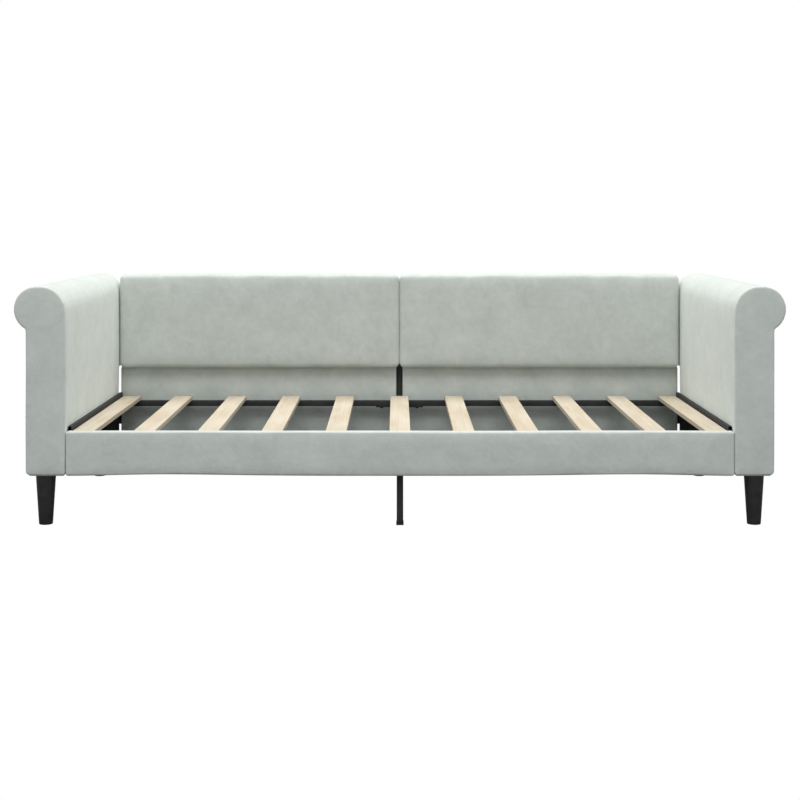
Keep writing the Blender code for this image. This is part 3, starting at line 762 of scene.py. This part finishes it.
def make_lower_cover(side_name, side):
    """The thin cover below a back pad. It wraps the lower part of the board, and stops beside the post."""
    low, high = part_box(f"back_{side_name}_lower_cover")
    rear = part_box(f"back_{side_name}_board")[1].y + BEHIND
    start, end = across_bed(low, high, side, -UNDER, 2 * MM)
    make_block_pad(
        f"velvet_back_lower_{side_name}",
        f"back_{side_name}_lower_cover",
        (start, low.y, low.z - UNDER),
        (end, rear, high.z),
        radius=3 * MM,
        end_radius=2 * MM,
        voxel=6 * MM,
        cap=1.5 * MM,
        seed=41 + side,
        crowned=0.5 * MM,
    )


def make_rail():
    """The padded front rail. Its lower edge is drawn up a little between the ends and the middle."""
    low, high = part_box("front_rail_cover")
    reach = 2.1 * MM  # each end comes this far closer to the arm
    half = high.x + reach

    def draw_up(points):
        """The lower edge rises as sine squared, from the ends and the middle to a point between them."""
        way = np.clip(np.abs(points[:, 0]) / half, 0, 1)
        lift = 4.5 * MM * np.sin(math.pi * way**1.9) ** 2
        share = 1 - smooth_step(points[:, 2], low.z, low.z + 50 * MM)
        points[:, 2] += lift * share
        wave = 0.7 * MM * ripple(points * [1, 0, 0], 420 * MM, 5)
        points[:, 2] += wave * smooth_step(points[:, 2], high.z - 40 * MM, high.z)
        return points

    make_block_pad(
        "velvet_front_rail",
        "front_rail_cover",
        (low.x - reach, low.y, low.z),
        (high.x + reach, high.y + BEHIND, high.z),
        radius=3.5 * MM,
        end_radius=2.5 * MM,
        voxel=5.5 * MM,
        cap=1.6 * MM,
        seed=53,
        crowned=1 * MM,
        shape=draw_up,
        cloth=VELVET_RAIL_PAINTED_LIGHTER,
    )


def make_board(node_name, drawn_in):
    """A sawn board inside the upholstery, with eased edges, drawn in a little under the cover."""
    low, high = (np.array(corner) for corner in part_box(node_name))
    piece = rounded_block("pine_" + node_name, low + drawn_in, high - drawn_in, 2 * MM, PINE)
    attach(piece, "root")
    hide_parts(node_name)


for side_name, side in SIDES.items():
    make_arm(side_name, side)
    make_back_pad(side_name, side)
    make_lower_cover(side_name, side)
    make_board(f"back_{side_name}_board", np.array([8, 1, 8]) * MM)
    make_board(f"arm_{side_name}_base_panel", np.array([1, 1, 0.8]) * MM)
make_rail()
make_board("front_rail_board", np.array([8, 1.5, 3]) * MM)


# ---------------------------------------------------------------- legs, steel and linings


def turned_piece(name, profile, centre, material, around=96):
    """A profile of (radius, height) turned about a vertical axis, closed at both ends by a flat cap."""
    profile = np.asarray(profile, float)
    angles = np.linspace(0, 2 * math.pi, around, endpoint=False)
    ring = np.column_stack([np.cos(angles), np.sin(angles), np.zeros(around)])
    rings = ring[None] * profile[:, 0, None, None]
    rings = rings + np.array(centre) + np.array([0, 0, 1]) * profile[:, 1, None, None]
    piece = carried_profile(name, rings, material)
    piece.data.set_sharp_from_angle(angle=math.radians(40))
    return piece


def make_leg(place):
    """A tapered leg with an eased foot and a narrow turned rim under the arm."""
    low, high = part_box("leg_" + place)
    centre = ((low.x + high.x) / 2, (low.y + high.y) / 2, 0)
    top_radius = (high.x - low.x) / 2
    foot_radius = 21 * MM
    eased = 2.2 * MM
    foot = arc_points((foot_radius - eased, eased), eased, -90, 0, 5)
    rim = 1.2 * MM
    upper = arc_points((top_radius - rim, high.z - rim), rim, 0, 90, 4)
    leg = turned_piece("turned_leg_" + place, np.vstack([foot, upper]), centre, LACQUER)
    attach(leg, "root")
    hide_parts("leg_" + place)


def make_tube(node_name, axis, wider=0.0, radius=2.2 * MM, wall=1.5 * MM):
    """A square tube with rounded corners: a rounded rectangle and a smaller one inside it, joined by flat
    rings at both open ends, carried along the axis. It can be wider in X on both sides."""
    low, high = (np.array(corner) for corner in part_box(node_name))
    low[0] -= wider
    high[0] += wider
    across = [i for i in range(3) if i != axis]

    def outline(inset):
        """The tube's outline in its own section, drawn in by inset."""
        return rounded_rectangle(low[across] + inset, high[across] - inset, max(radius - inset, 0.6 * MM), 4)

    outer, inner = outline(0), outline(wall)
    rings = []
    for flat, along in ((outer, low), (outer, high), (inner, high), (inner, low)):
        ring = np.empty((len(flat), 3))
        ring[:, across] = flat
        ring[:, axis] = along[axis]
        rings.append(ring)
    rings = np.array(rings)
    count, around = rings.shape[:2]
    faces = grid_faces(count, around, True).tolist()
    last = (count - 1) * around
    faces += [[last + i, last + (i + 1) % around, (i + 1) % around, i] for i in range(around)]
    tube = mesh_piece("steel_" + node_name, rings.reshape(-1, 3), faces, COATED)
    face_out(tube)
    tube.data.set_sharp_from_angle(angle=math.radians(50))
    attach(tube, "root")
    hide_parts(node_name)


for end in ("front", "rear"):
    for side_name in SIDES:
        make_leg(f"{end}_{side_name}")
for node_name, axis, wider in (
    ("front_bearer", 0, 0),
    ("back_bar_left", 0, 0),
    ("back_bar_right", 0, 0),
    ("centre_beam", 1, 0),
    ("end_bar_left", 1, 0),
    ("end_bar_right", 1, 0),
    ("front_centre_leg", 2, 0),
    ("rear_centre_post", 2, 1.4 * MM),  # the extra 1.4 mm each side is painted shade: black steel where the gaps beside the post lie in shadow, filling the slot between the lower covers
):
    make_tube(node_name, axis, wider)


def make_lining(node_name, axis):
    """A sheet of black lining, which is stapled along its edges, though the staples are not drawn: a flat grid
    with a slight ripple across it, which dies away at the edges as the product of sine waves of half its width
    and height."""
    low, high = (np.array(corner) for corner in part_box(node_name))
    across = [i for i in range(3) if i != axis]
    size = (high - low)[across]
    counts = [max(int(side / (10 * MM)), 4) + 1 for side in size]
    first, second = np.meshgrid(*[np.linspace(0, 1, count) for count in counts], indexing="ij")
    points = np.empty((first.size, 3))
    points[:, across[0]] = low[across[0]] + first.ravel() * size[0]
    points[:, across[1]] = low[across[1]] + second.ravel() * size[1]
    points[:, axis] = 0
    edge = np.clip(4 * np.sin(math.pi * first.ravel()) * np.sin(math.pi * second.ravel()), 0, 1)
    wave = ripple(points, 110 * MM, len(node_name)) * edge
    points[:, axis] = (low[axis] + high[axis]) / 2 + np.clip(0.3 * wave, -0.4, 0.4) * MM
    sheet = mesh_piece("sheet_" + node_name, points, grid_faces(*counts, False), LINING)
    thick = sheet.modifiers.new("cloth_thickness", "SOLIDIFY")
    thick.thickness = 0.6 * MM
    thick.offset = 0.0
    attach(sheet, "root")
    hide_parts(node_name)


for side_name in SIDES:
    make_lining(f"arm_{side_name}_lining", 0)
    make_lining(
        f"back_{side_name}_rear_lining", 1
    )


# ---------------------------------------------------------------- studio

WORLD_FILL = 0.71
OVERHEAD_POWER = 57
OVERHEAD_Y = 0.8
FRONT_FILL_POWER = 138
CAMERA_DISTANCE = 4.585  # from the front of the arms
CAMERA_HEIGHT = 963.4 * MM
CAMERA_X = -10.6 * MM
FLOOR_HALF = 12.0
FLOOR_DROP = 0.2 * MM  # below the feet


def area_light(name, place, target, width, height, power):
    """A soft rectangular light that looks at a point."""
    data = bpy.data.lights.new(name, "AREA")
    data.shape = "RECTANGLE"
    data.size = width
    data.size_y = height
    data.energy = power
    light = bpy.data.objects.new(name, data)
    light.location = place
    aim = np.array(target, float) - np.array(place, float)
    aim /= np.linalg.norm(aim)
    pitch = math.acos(-aim[2])
    light.rotation_euler = (pitch, 0, math.atan2(aim[0], -aim[1]) + math.pi if pitch > 1e-6 else 0)
    bpy.context.scene.collection.objects.link(light)


def make_studio():
    """White surroundings, a pale floor, soft lights above and the camera."""
    world = bpy.data.worlds.new("white_studio")
    world.use_nodes = True
    tree = world.node_tree
    fill = tree.nodes["Background"]
    set_sockets(fill, Color=(1, 1, 1, 1), Strength=WORLD_FILL)
    seen = add_node(tree, "ShaderNodeBackground", {"Color": (1.0, 1.0, 1.0, 1.0), "Strength": 1.0})
    ray = add_node(tree, "ShaderNodeLightPath")
    both = add_node(tree, "ShaderNodeMixShader", {0: (ray, "Is Camera Ray"), 1: (fill, 0), 2: (seen, 0)})
    tree.links.new(both.outputs[0], tree.nodes["World Output"].inputs["Surface"])
    bpy.context.scene.world = world

    area_light("overhead", (0, OVERHEAD_Y, 3.2), (0, OVERHEAD_Y, 0), 4.0, 1.6, OVERHEAD_POWER)
    area_light("front_fill", (-0.25, -2.8, 5.2), (0, 0, 0.3), 4.0, 2.0, FRONT_FILL_POWER)

    corners = [(x * FLOOR_HALF, y * FLOOR_HALF, -FLOOR_DROP) for x, y in ((-1, -1), (1, -1), (1, 1), (-1, 1))]
    floor = mesh_piece("studio_floor", corners, [[0, 1, 2, 3]], studio_floor(), False)

    camera_data = bpy.data.cameras.new("camera")
    camera_data.lens = 68.1
    camera_data.sensor_width = 36.0
    camera_data.shift_x = 0.0044
    camera_data.shift_y = -0.2378
    camera_data.clip_end = 60.0
    camera = bpy.data.objects.new("camera", camera_data)
    camera.location = (CAMERA_X, FRONT - CAMERA_DISTANCE, CAMERA_HEIGHT)
    camera.rotation_euler = (math.radians(90), 0, 0)
    bpy.context.scene.collection.objects.link(camera)
    bpy.context.scene.camera = camera
    bpy.context.scene.view_settings.view_transform = "Standard"


make_studio()
